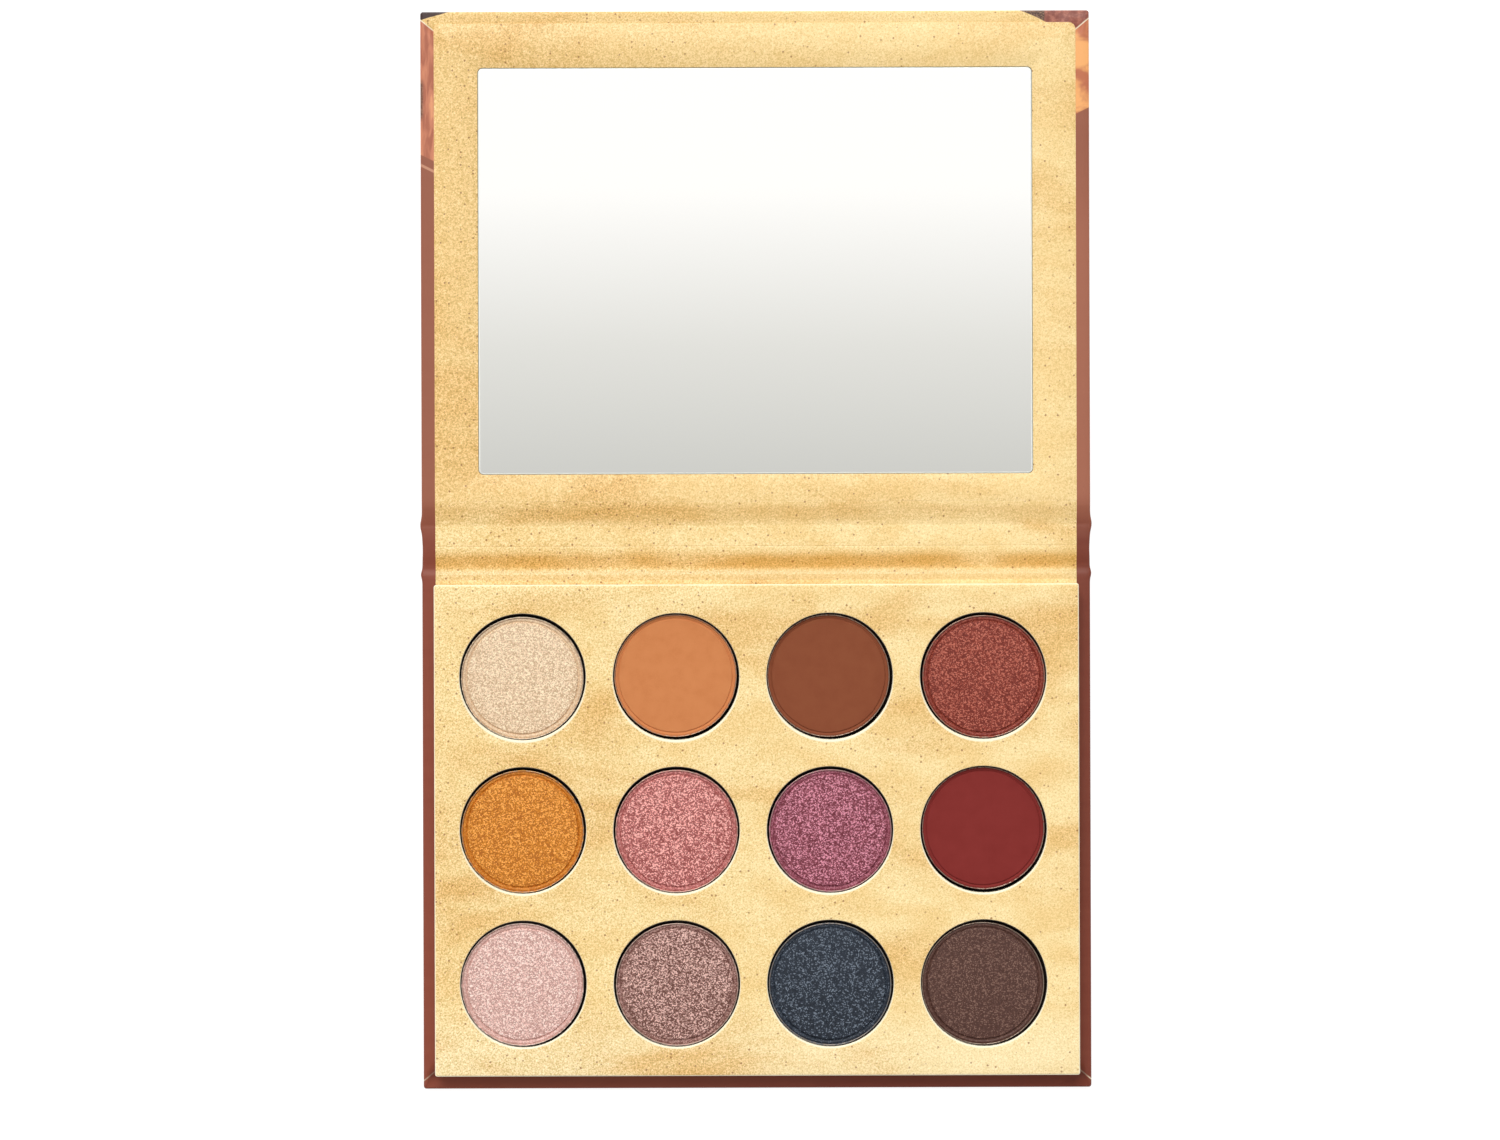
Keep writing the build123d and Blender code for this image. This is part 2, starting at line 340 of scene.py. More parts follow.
def sand_colour(tree, place):
    """A print of blown sand: cream, tan drifts, fine grain and dark specks, with painted warm shade on the
    hinge slopes and painted shade in the valley behind the tray. Returns colour and grain.
    """
    x, y, _ = tree.split(place)
    drift_place = tree.scaled(place, 0.020, 0.052, 0.03, turn=24)
    drift = tree.noise(drift_place, detail=4.0, rough=0.55, warp=0.5)
    drift = tree.step(drift, 0.47, 0.72)
    soft = tree.noise(tree.scaled(place, 0.09, 0.16, 0.1, turn=20), detail=2.0)
    west = tree.sub(1.0, tree.step(x, -75.0, 60.0))
    colour = tree.mix(tree.step(soft, 0.35, 0.68), CREAM, CREAM_DEEP)
    lidward = tree.step(y, 4.0, 16.0)
    colour = tree.mix(tree.add(tree.mul(west, 0.40), tree.mul(lidward, 0.42)), colour, CREAM_DEEP)
    colour = tree.mix(tree.mul(tree.mul(west, lidward), 0.30), colour, TAN)
    colour = tree.mix(tree.mul(tree.sub(1.0, tree.step(y, -108.0, -92.0)), 0.55), colour, CREAM_PALE)
    colour = tree.mix(tree.mul(drift, tree.add(0.74, tree.mul(west, 0.14))), colour, TAN)
    patches = tree.noise(tree.scaled(place, 0.05, 0.09, 0.05), detail=2.0)
    # Painted shade: the tan bands over the hinge are print and also painted warm shade on the slopes that face
    # away from the key light.
    front_band_and_shade = tree.stripe(y, FRONT_BAND_AND_SHADE)
    back_band_and_shade = tree.stripe(y, BACK_BAND_AND_SHADE)
    band = tree.add(tree.mul(front_band_and_shade, 0.70), tree.mul(back_band_and_shade, 0.28))
    colour = tree.mix(tree.mul(band, tree.step(patches, 0.12, 0.60)), colour, RUST_SAND_AND_SHADE)
    # Painted shade: the print is darkened in the valley behind the tray.
    colour = tree.mix(tree.mul(tree.stripe(y, PAINTED_VALLEY_SHADE), 0.75), colour, VALLEY_SHADE_COLOUR)
    colour = tree.mix(tree.mul(tree.stripe(y, LID_RISE), 0.16), colour, TAN)
    grain = tree.noise(place, scale=2.9, detail=2.0, rough=0.8)
    patchy = tree.add(tree.add(0.45, tree.mul(drift, 0.4)), tree.mul(west, 0.35))
    patchy = tree.add(patchy, tree.mul(band, 0.4))
    shade = tree.add(0.99, tree.mul(tree.mul(tree.sub(grain, 0.5), patchy), 1.9))
    warm_shade = tree.join(shade, tree.math("POWER", shade, 1.25), tree.math("POWER", shade, 2.3))
    colour = tree.mix(1.0, colour, warm_shade, blend="MULTIPLY")
    for cells_per_mm, commonness, strength in SPECKS:
        distance, random_colour = tree.cells(place, cells_per_mm)
        chance = tree.split(random_colour)[0]
        rarity = tree.sub(0.97, tree.mul(patchy, commonness))
        rare = tree.step(chance, rarity, tree.add(rarity, 0.08))
        spot = tree.sub(1.0, tree.step(distance, 0.14, 0.34))
        colour = tree.mix(tree.mul(tree.mul(spot, rare), strength), colour, SPECK)
    return colour, grain


def well_print(tree, place, colour):
    """Round each hole: a painted highlight in the paper's core colour on the front lip, and the wall is dark.
    """
    x, y, z = tree.split(place)
    local = []
    places = zip((x, y), well_centre(1, 1), well_centre(2, 2), (3.0, 2.0), SKIN_OFFSET)
    for value, first, second, last_cell, offset in places:
        pitch = second - first
        value = tree.sub(value, first + offset)
        cell = tree.math("ROUND", tree.mul(value, 1 / pitch))
        cell = tree.math("MAXIMUM", tree.math("MINIMUM", cell, last_cell), 0.0)
        local.append(tree.sub(value, tree.mul(cell, pitch)))
    across = tree.mul(local[0], local[0])
    # Painted highlight: a pale crescent on the front lip of each hole, its circle shifted towards the front.
    highlight_shift = tree.add(0.36, tree.mul(tree.step(y, -105.0, -15.0), 0.26))
    shifted = tree.add(local[1], highlight_shift)
    from_highlight_centre = tree.math("SQRT", tree.add(across, tree.mul(shifted, shifted)))
    from_middle = tree.math("SQRT", tree.add(across, tree.mul(local[1], local[1])))
    painted_highlight = tree.sub(1.0, tree.step(from_highlight_centre, SKIN_RADIUS - 0.05, SKIN_RADIUS + 0.25))
    colour = tree.mix(tree.mul(painted_highlight, 0.92), colour, PAPER_CORE_AND_HIGHLIGHT)
    deep = tree.sub(1.0, tree.step(z, TRAY_HIGH.z - 0.42, TRAY_HIGH.z - 0.32))
    wall = tree.mul(deep, tree.sub(1.0, tree.step(from_middle, SKIN_RADIUS + 0.05, SKIN_RADIUS + 0.13)))
    return tree.mix(wall, colour, INK_BLACK)


def sand_paper(name, attribute=None, highlight_above=None):
    """Sand print. Its cut edges show the paper's core. Tilted faces above a height are painted pale, a painted
    highlight on the rolled edges.
    """
    tree = Tree(name)
    place = tree.place(attribute)
    colour, grain = sand_colour(tree, place)
    if highlight_above is None:
        facing = tree.node("ShaderNodeAttribute", {}, attribute_name="facing").outputs["Fac"]
        colour = tree.mix(tree.step(facing, 0.25, 0.45), PAPER_CORE_AND_HIGHLIGHT, colour)
    else:
        upward, height = tree.upward(), tree.split(place)[2]
        # Painted highlight: tilted faces near the top are painted pale.
        painted_highlight = tree.mul(tree.sub(1.0, tree.step(upward, 0.6, 0.99)), tree.step(height, *highlight_above))
        colour = tree.mix(tree.mul(painted_highlight, 0.9), colour, PAPER_CORE_AND_HIGHLIGHT)
        colour = well_print(tree, place, colour)
    tree.bump(grain, 0.12, 0.04)
    return tree.finish(colour, 0.40, specular=0.36)


# The seam between two turn-ins starts this far below the corner, and ends at the turn-ins' inner corner.
MITRE_DROP = 1.7
MITRE_SLOPE = 1 - MITRE_DROP / TURN_IN

BASE_BROWN = srgb(131, 63, 47)
# Darker brown on the base's right: painted shadow of the tray.
BASE_PAINTED_SHADOW = srgb(116, 52, 38)
LID_BROWN = srgb(162, 99, 77)
LID_SHADE = srgb(151, 90, 69)
COPPER = srgb(206, 132, 102)
ORANGE = srgb(247, 178, 112)
PINK_COPPER = srgb(136, 76, 66)
DARK_BROWN = srgb(66, 46, 44)


def wrap_print(name, attribute):
    """The case's outer print: brown, with sunlit dunes of copper, orange and sand at the lid's far end. The
    base's brown is painted darker on the right, a painted shadow of the tray.
    """
    tree = Tree(name)
    place = tree.place(attribute)
    x, y, z = tree.split(place)
    wobble = tree.noise(tree.scaled(place, 0.25, 0.25, 0.25), detail=3.0)
    west = tree.sub(1.0, tree.step(x, -40.0, 40.0))
    # Painted shadow: the base's brown darkens towards the right.
    base_brown_and_shadow = tree.mix(west, BASE_PAINTED_SHADOW, BASE_BROWN)
    lid_brown = tree.mix(tree.math("MAXIMUM", west, tree.step(y, 62.0, 88.0)), LID_BROWN, LID_SHADE)
    brown = tree.mix(tree.step(y, 1.0, 13.0), base_brown_and_shadow, lid_brown)
    ridges = tree.noise(tree.scaled(place, 0.011, 0.034, 0.0, turn=12), detail=3.0, warp=0.7)
    away_from_sides = tree.step(tree.math("ABSOLUTE", x), HALF_WIDTH - 3.5, 50.0)
    ridges = tree.mul(tree.step(ridges, 0.46, 0.54), away_from_sides)
    brown = tree.mix(tree.mul(ridges, 0.45), brown, srgb(122, 62, 44))
    mottle = tree.noise(tree.scaled(place, 0.12, 0.5, 0.3), detail=4.0)
    brown = tree.mix(tree.mul(mottle, 0.10), brown, srgb(190, 130, 105))
    streak = tree.noise(tree.scaled(place, 0.9, 0.16, 0.3, turn=-6), detail=3.0, warp=0.4)
    left = tree.mix(tree.step(streak, 0.36, 0.56), srgb(176, 104, 80), COPPER)
    left = tree.mix(tree.step(streak, 0.56, 0.70), left, srgb(228, 158, 116))
    bands = tree.noise(tree.scaled(place, 0.16, 0.22, 0.2, turn=30), detail=3.0, warp=0.6)
    right = tree.mix(tree.step(bands, 0.40, 0.62), ORANGE, srgb(192, 112, 80))
    dunes = tree.mix(tree.step(x, -25.0, 45.0), left, right)
    sweep = tree.noise(tree.scaled(place, 0.012, 0.075, 0.0, turn=12), detail=3.0, rough=0.45, warp=0.6)
    far_stops = [(0.34, srgb(168, 96, 70)), (0.46, COPPER), (0.56, ORANGE), (0.68, srgb(252, 208, 142))]
    far_dunes = tree.ramp(sweep, far_stops)
    dunes = tree.mix(tree.step(z, 0.3, 0.6), far_dunes, dunes)
    from_side = tree.sub(HALF_WIDTH, tree.math("ABSOLUTE", x))
    from_end = tree.sub(HALF_LENGTH, tree.math("ABSOLUTE", y))
    east = tree.step(x, -40.0, 40.0)
    fall = tree.mul(tree.math("MINIMUM", from_side, 12.0), -0.5)
    crest = tree.add(tree.add(84.4, tree.mul(east, 9.7)), fall)
    tilt = tree.sub(y, crest)
    line = tree.sub(tree.step(tilt, -2.6, -2.4), tree.step(tilt, -2.0, -1.8))
    brown = tree.mix(tree.mul(line, tree.mul(tree.sub(1.0, east), 0.6)), brown, srgb(226, 170, 140))
    colour = tree.mix(tree.step(tilt, -0.12, 0.12), brown, dunes)
    gravel = tree.step(tree.noise(place, scale=3.4, detail=3.0, rough=0.7), 0.40, 0.66)
    gravel = tree.mix(gravel, DARK_BROWN, srgb(158, 122, 98))
    rim = tree.mul(tree.sub(1.0, tree.step(from_side, 0.3, 0.9)), tree.sub(1.0, east))
    rim = tree.mul(rim, tree.sub(tree.step(y, 91.0, 93.0), tree.step(y, 99.0, 101.0)))
    colour = tree.mix(tree.mul(rim, 0.8), colour, gravel)
    end_flap = tree.sub(tree.add(MITRE_DROP, tree.mul(from_side, MITRE_SLOPE)), from_end)
    seam = tree.sub(1.0, tree.step(tree.math("ABSOLUTE", end_flap), 0.08, 0.24))
    inside = tree.step(z, 0.7, 0.9)
    seam = tree.mul(tree.mul(seam, inside), tree.add(0.25, tree.mul(tree.step(wobble, 0.36, 0.5), 0.75)))
    end_flap = tree.mul(tree.step(end_flap, -0.05, 0.05), tree.mul(inside, tree.step(y, 0.0, 1.0)))
    worn = tree.noise(place, scale=0.7, detail=4.0, rough=0.7)
    flap_copper = tree.mix(tree.step(worn, 0.40, 0.75), PINK_COPPER, srgb(190, 124, 104))
    colour = tree.mix(tree.mul(end_flap, east), colour, flap_copper)
    ragged = tree.add(tree.mul(wobble, 1.6), -0.8)
    sand_edge = tree.sub(tree.sub(x, tree.add(56.6, tree.mul(from_end, 2.2))), ragged)
    gravel_mask = tree.sub(1.0, tree.step(tree.sub(x, tree.add(61.8, ragged)), -0.2, 0.2))
    colour = tree.mix(tree.mul(end_flap, tree.mul(east, gravel_mask)), colour, gravel)
    sand = sand_colour(tree, place)[0]
    inner_sand = tree.sub(1.0, tree.step(sand_edge, -0.2, 0.2))
    colour = tree.mix(tree.mul(end_flap, inner_sand), colour, sand)
    wedge = tree.sub(from_end, tree.mul(tree.sub(6.2, from_side), 0.30))
    shade_corner = tree.sub(1.0, tree.step(tree.add(wedge, tree.mul(ragged, 0.3)), -0.08, 0.08))
    shade_corner = tree.mul(shade_corner, tree.mul(tree.sub(1.0, east), tree.step(y, 0.0, 1.0)))
    colour = tree.mix(shade_corner, colour, DARK_BROWN)
    colour = tree.mix(tree.mul(seam, 0.75), colour, PAPER_CORE_AND_HIGHLIGHT)
    tree.bump(tree.noise(place, scale=1.2, detail=3.0), 0.06, 0.04)
    return tree.finish(colour, 0.45, specular=0.3)


# ---------------------------------------------------------------- powders
SHADES = {
    "r1c1": ("shimmer", (251, 224, 192), (240, 211, 178), (205, 172, 137)),
    "r1c2": ("matte", (211, 136, 84), (207, 131, 80), (200, 123, 73)),
    "r1c3": ("matte", (140, 78, 50), (137, 74, 47), (132, 69, 43)),
    "r1c4": ("shimmer", (182, 95, 76), (142, 55, 41), (112, 35, 23)),
    "r2c1": ("shimmer", (242, 164, 70), (209, 127, 26), (176, 98, 12)),
    "r2c2": ("glitter", (249, 175, 168), (199, 119, 117), (150, 75, 72)),
    "r2c3": ("glitter", (213, 136, 157), (159, 84, 100), (112, 45, 59)),
    "r2c4": ("matte", (133, 45, 42), (129, 42, 39), (124, 38, 35)),
    "r3c1": ("shimmer", (255, 219, 210), (227, 184, 175), (190, 146, 137)),
    "r3c2": ("glitter", (222, 181, 171), (160, 117, 109), (106, 66, 58)),
    "r3c3": ("glitter", (98, 109, 124), (43, 52, 66), (22, 30, 42)),
    "r3c4": ("shimmer", (116, 83, 71), (89, 57, 49), (76, 46, 38)),
}
GRAIN = {"shimmer": 4.8, "glitter": 4.5}

# The ring of loose powder past the pressed groove: from where to where it fades in, from the cake's middle.
LOOSE_RING = (11.75, 12.0)

# How rare the bright flakes are: 1 is as many bright as dark.
RARITY = {"r1c4": 2.0, "r2c2": 1.5, "r2c3": 1.9, "r3c2": 1.3, "r3c3": 5.0, "r3c4": 3.0}


def powder_material(code):
    kind, light, middle, dark = SHADES[code]
    tree = Tree("powder_" + code)
    place = tree.place()
    if kind == "matte":
        cloud = tree.noise(tree.scaled(place, 0.35, 0.35, 0.35), detail=3.0)
        dust = tree.noise(place, scale=4.0, detail=2.0)
        value = tree.add(tree.mul(cloud, 0.7), tree.mul(dust, 0.3))
        stops = [(0.25, srgb(*dark)), (0.5, srgb(*middle)), (0.75, srgb(*light))]
        tree.bump(dust, 0.10, 0.03)
        return tree.finish(tree.ramp(value, stops), 0.85, specular=0.25)
    _, cell = tree.cells(place, GRAIN[kind])
    flake_x, flake_y, flake_z = tree.split(cell)
    cloud = tree.noise(tree.scaled(place, 0.8, 0.8, 0.8), detail=3.0)
    x, y, _ = tree.split(place)
    centre_x, centre_y = well_centre(int(code[1]), int(code[3]))
    shift_x, shift_y = pan_shift(code)
    # Painted light: the cake is painted brighter towards the back, where the key light comes from.
    painted_light_towards_back = tree.mul(tree.sub(y, centre_y), 0.007)
    rarity = RARITY.get(code, 1.0)
    flake = tree.sub(tree.math("POWER", flake_x, rarity), 1 / (1 + rarity))
    value = tree.add(tree.mul(flake, 1.7), tree.add(0.36, tree.mul(tree.sub(cloud, 0.5), 0.25)))
    value = tree.add(value, painted_light_towards_back)
    sparkle = srgb(*[min(255, channel + 14) for channel in light])
    stops = [(0.0, srgb(*dark)), (0.45, srgb(*middle)), (0.88, srgb(*light)), (1.0, sparkle)]
    colour = tree.ramp(value, stops)
    across, along_y = tree.sub(x, centre_x + shift_x), tree.sub(y, centre_y + shift_y)
    from_middle = tree.math("SQRT", tree.add(tree.mul(across, across), tree.mul(along_y, along_y)))
    loose = srgb(*[(a + b) / 2 for a, b in zip(middle, dark)])
    colour = tree.mix(tree.mul(tree.step(from_middle, *LOOSE_RING), 0.5), colour, loose)
    tree.bump(flake_y, 0.5 if kind == "glitter" else 0.3, 0.06)
    metallic = tree.mul(tree.step(flake_z, 0.55, 0.95), 0.35)
    return tree.finish(colour, 0.45, metallic=metallic, specular=0.4)


def pan_material(code):
    """Tin with a dusting of the pan's own powder."""
    light = SHADES[code][1]
    tree = Tree("pan_" + code)
    place = tree.place()
    dust = tree.step(tree.noise(place, scale=1.6, detail=3.0), 0.48, 0.62)
    colour = tree.mix(tree.add(0.3, tree.mul(dust, 0.6)), srgb(176, 160, 144), srgb(*light))
    roughness = tree.add(0.3, tree.mul(dust, 0.45))
    tree.bump(tree.noise(place, scale=3.0, detail=2.0), 0.1, 0.05)
    return tree.finish(colour, roughness, metallic=tree.sub(0.7, tree.mul(dust, 0.6)))


# ---------------------------------------------------------------- plain materials for inner pieces
def fibre_board(name, light, dark):
    tree = Tree(name)
    place = tree.place()
    fibre = tree.noise(tree.scaled(place, 0.5, 2.0, 6.0), detail=4.0)
    colour = tree.mix(tree.step(fibre, 0.35, 0.7), light, dark)
    tree.bump(fibre, 0.3, 0.05)
    return tree.finish(colour, 0.9, specular=0.2)


def glue_material():
    tree = Tree("glue")
    haze = tree.noise(tree.place(), scale=0.6, detail=3.0)
    colour = tree.mix(haze, srgb(228, 222, 206), srgb(206, 198, 178))
    return tree.finish(colour, tree.add(0.35, tree.mul(haze, 0.3)))


def magnet_material():
    tree = Tree("nickel")
    brushed = tree.noise(tree.scaled(tree.place(), 2.0, 14.0, 2.0), detail=2.0)
    colour = tree.mix(brushed, srgb(190, 190, 192), srgb(150, 150, 154))
    return tree.finish(colour, tree.add(0.2, tree.mul(brushed, 0.2)), metallic=1.0)


def mirror_material():
    tree = Tree("silvered_glass")
    haze = tree.noise(tree.place(), scale=0.04, detail=2.0)
    return tree.finish(srgb(253, 253, 252), tree.mul(haze, 0.03), metallic=1.0)


def glass_edge_material():
    tree = Tree("ground_glass_edge")
    haze = tree.noise(tree.place(), scale=2.0, detail=2.0)
    colour = tree.mix(haze, srgb(250, 252, 250), srgb(232, 240, 236))
    return tree.finish(colour, tree.add(0.25, tree.mul(haze, 0.2)), specular=0.7)


# ---------------------------------------------------------------- printed case
def liner_height(y):
    return along(HINGE_PROFILE, y)


def wrap_top(y):
    return liner_height(y) - PAPER


def wrap_bottom(y):
    """The outer face lies flat, with a shallow pressed groove at each crease."""
    return 0.15 * (bell(y, BASE_CREASE, 0.5) + bell(y, LID_CREASE, 0.6))


def side_bulge(y):
    """How far the folded side stands out where the paper gathers at a crease."""
    gather = 0.38 * bell(y, LID_CREASE + 0.3, 1.5) + 0.30 * bell(y, BASE_CREASE, 1.0)
    return gather - 0.12 * bell(y, 0.2, 2.2)


def wrap_section(y, flap_lift):
    """Distance in from the outline and height, round the folded paper, outside then inside."""
    low, high = wrap_bottom(y), wrap_top(y)
    radius = min(0.5, (high - low) * 0.48)
    paper = min(PAPER, (high - low) * 0.42)
    section = [(TURN_IN, low), (4.0, low), (1.5, low)]
    for angle in steps(0, 90, 18):
        a = math.radians(angle)
        section.append((radius * (1 - math.sin(a)), low + radius * (1 - math.cos(a))))
    for angle in steps(0, 90, 18):
        a = math.radians(angle)
        lift = flap_lift * angle / 90
        section.append((radius * (1 - math.cos(a)), high - radius * (1 - math.sin(a)) + lift))
    section += [(1.5, high + flap_lift), (4.0, high + flap_lift), (TURN_IN, high + flap_lift)]
    section += [(TURN_IN, high - paper), (paper, high - paper), (paper, low + paper), (TURN_IN, low + paper)]
    return section


CORNER = 0.6
MITRE_REACH = 15.0
FLAP_STEP = 0.07


def mitre(inset):
    """How far from the free end the seam between two turn-ins runs, this far in from the side."""
    if inset <= CORNER:
        return inset
    share = min(1.0, (inset - CORNER) / 0.8)
    return inset + MITRE_DROP * (1 - inset / TURN_IN) * share


def wrap_outline(side):
    """Stations round a panel: seam, left edge, free end, right edge, seam.

    Each is (x, y, inward x, inward y, flap lift, Y that sets the section)."""
    free = side * HALF_LENGTH
    stations = []
    fine = steps(SEAM, side * 12.0, 0.3)
    coarse = steps(side * 12.0, free - side * CORNER, 3.0)[1:]
    edge = fine + coarse
    for y in edge:
        stations.append((-HALF_WIDTH - side_bulge(y), y, 1, 0, FLAP_STEP, y))
    centre = (-HALF_WIDTH + CORNER, free - side * CORNER)
    arc = []
    for angle in steps(0, 90, 15):
        a = math.radians(angle)
        out_x, out_y = -math.cos(a), side * math.sin(a)
        place = (centre[0] + CORNER * out_x, centre[1] + CORNER * out_y)
        lift = FLAP_STEP if angle <= 45 else 0.0
        arc.append((*place, -out_x, -out_y, lift, free))
        if abs(angle - 45) < 1e-6:
            arc.append((*place, -out_x, -out_y, 0.0, free))
    stations += arc
    for x in steps(-HALF_WIDTH + CORNER, HALF_WIDTH - CORNER, 6.0)[1:-1]:
        stations.append((x, free, 0, -side, 0.0, free))
    stations += [(-x, y, -dx, dy, lift, at) for x, y, dx, dy, lift, at in reversed(arc)]
    for y in reversed(edge):
        stations.append((HALF_WIDTH + side_bulge(y), y, -1, 0, FLAP_STEP, y))
    return stations, len(edge)


def wrap_point(station, inset, height, side):
    """A point of the folded paper, moved in from the outline so that corners stay mitred."""
    x, y, dx, dy, _, _ = station
    free = side * HALF_LENGTH
    to_end = abs(free - y)
    to_side = HALF_WIDTH - abs(x)
    if dx and dy:
        if inset < CORNER:
            return (x + dx * inset, y + dy * inset, height)
        towards_x = 1 if x < 0 else -1
        return (towards_x * (inset - HALF_WIDTH), free - side * mitre(inset), height)
    if dx:
        share = max(0.0, 1 - (to_end - CORNER) / MITRE_REACH)
        return (x + dx * inset, y - side * max(0.0, mitre(inset) - CORNER) * share, height)
    share = max(0.0, 1 - (to_side - CORNER) / MITRE_REACH)
    towards_x = 1 if x < 0 else -1
    depth = inset + (mitre(inset) - inset) * share
    return (x + towards_x * max(0.0, inset - CORNER) * share, y + dy * depth, height)


def build_wrap(name, side, material):
    """Printed paper folded round one panel and half the spine."""
    stations, edge_count = wrap_outline(side)
    points, faces = [], []
    sections = [wrap_section(s[5], s[4]) for s in stations]
    width = len(sections[0])
    for station, section in zip(stations, sections):
        points += [wrap_point(station, inset, height, side) for inset, height in section]
    for i in range(len(stations) - 1):
        for k in range(width - 1):
            a, b = i * width + k, (i + 1) * width + k
            faces.append((a, b, b + 1, a + 1))
    last = len(stations) - 1
    for k in (0, width - 1):
        for i in range(edge_count - 1):
            left, right = i * width + k, (last - i) * width + k
            faces.append((left, left + width, right - width, right))
        end = range(edge_count - 1, last - edge_count + 2)
        faces.append([i * width + k for i in end])
    obj = make(name, points, faces, material, merge=MERGE)
    for polygon in obj.data.polygons:
        polygon.use_smooth = len(polygon.vertices) < 5
    keep_rest_place(obj)
    return obj


def sheet_grid(xs, ys, height):
    """Points and faces of a sheet over a grid, with its height from a function of x and y."""
    points = [(x, y, height(x, y)) for y in ys for x in xs]
    columns = len(xs)
    faces = []
    for j in range(len(ys) - 1):
        for i in range(columns - 1):
            a = j * columns + i
            faces.append((a, a + 1, a + 1 + columns, a + columns))
    return points, faces


def liner_surface(x, y):
    """The liner's upper face, with slow waves along the hinge."""
    wave = 0.10 * noise.noise(Vector((x * 0.035, y * 0.05, 3.7)))
    ripple = 0.03 * noise.noise(Vector((x * 0.12, y * 0.3, 9.1)))
    inside = bell(y, 1.5, 5.5) if -5.0 < y < 10.0 else 0.0
    return liner_height(y) + (wave + ripple) * inside


def rounded_ring(half_x, low_y, high_y, corner, count):
    """Points round a rectangle with rounded corners, from the middle of its right side."""
    middle = (low_y + high_y) / 2
    half_y = (high_y - low_y) / 2
    ring = []
    for quarter in range(4):
        sign_x = 1 if quarter in (0, 3) else -1
        sign_y = 1 if quarter in (0, 1) else -1
        cx, cy = sign_x * (half_x - corner), middle + sign_y * (half_y - corner)
        start = quarter * 90
        for angle in steps(start, start + 90, 90 / count):
            a = math.radians(angle)
            ring.append((cx + corner * math.cos(a), cy + corner * math.sin(a)))
    return ring


LINER_SPLIT = 10.4
LINER_CORNER = 1.5
WINDOW_CORNER = 1.0
WINDOW_ROOM = 0.05


def build_lid_liner(material):
    """Sand-printed liner over the lid and the lid's half of the hinge, with the mirror window."""
    xs = steps(-LINER_HALF, LINER_HALF, 4.0)
    points, faces = sheet_grid(xs, steps(SEAM, LINER_SPLIT, 0.3), liner_surface)
    window = rounded_ring(MIRROR_HIGH.x + WINDOW_ROOM, MIRROR_LOW.y - WINDOW_ROOM,
                          MIRROR_HIGH.y + WINDOW_ROOM, WINDOW_CORNER, 6)
    outer = rounded_ring(LINER_HALF, LINER_SPLIT, LINER_HIGH.y, LINER_CORNER, 6)
    outer = [(x, y) if y > MIRROR_LOW.y else (math.copysign(LINER_HALF, x), LINER_SPLIT) for x, y in outer]
    top = liner_height(LINER_SPLIT + 1)
    start, count = len(points), len(window)
    points += [(x, y, top) for x, y in window] + [(x, y, top) for x, y in outer]
    for i in range(count):
        j = (i + 1) % count
        faces.append((start + i, start + count + i, start + count + j, start + j))
    obj = make("liner_back", points, faces, material, merge=MERGE)
    face_up(obj)
    thicken(obj, PAPER * 0.9, bevel=0.08)
    keep_rest_place(obj)
    return obj


def face_up(obj):
    """Turns a sheet's faces so that they look up."""
    work = bmesh.new()
    work.from_mesh(obj.data)
    work.normal_update()
    bmesh.ops.reverse_faces(work, faces=[f for f in work.faces if f.normal.z < 0])
    work.to_mesh(obj.data)
    work.free()


def build_base_liner(material):
    """Liner over the base's half of the hinge, running in under the tray."""
    xs = steps(-LINER_HALF, LINER_HALF, 4.0)
    ys = steps(-12.0, BASE_CREASE - 0.5, 2.0) + steps(BASE_CREASE - 0.4, BASE_CREASE + 0.2, 0.06)
    ys += steps(BASE_CREASE + 0.4, SEAM, 0.3)
    points, faces = sheet_grid(xs, ys, liner_surface)
    obj = make("liner_front", points, faces, material)
    face_up(obj)
    thicken(obj, PAPER * 0.9, bevel=0.05)
    keep_rest_place(obj)
    return obj


# ---------------------------------------------------------------- tray
TRAY_EDGE = 0.5
LIP_WALL = 1.05
TRAY_PAPER = 0.18


def well_centre(row, column):
    low, high = box_mm(f"pan_r{row}c{column}")
    return (low.x + high.x) / 2, (low.y + high.y) / 2


def square_point(angle, half_x, half_y):
    """Where a ray from a cell's middle meets the cell's side."""
    c, s = math.cos(angle), math.sin(angle)
    reach = min(half_x / abs(c) if abs(c) > 1e-9 else 1e9, half_y / abs(s) if abs(s) > 1e-9 else 1e9)
    return reach * c, reach * s


def lip_point(angle, turn, top):
    """A point of a hole's rolled edge: radius, angle and height. The roll is widest at the front."""
    roll = (0.5 - 0.5 * math.sin(angle)) ** 1.5
    width, depth = 0.12 + 0.58 * roll, 0.12 + 0.26 * roll
    radius = SKIN_RADIUS + width * (1 - math.cos(turn))
    return radius, angle, top - depth * (1 - math.sin(turn))


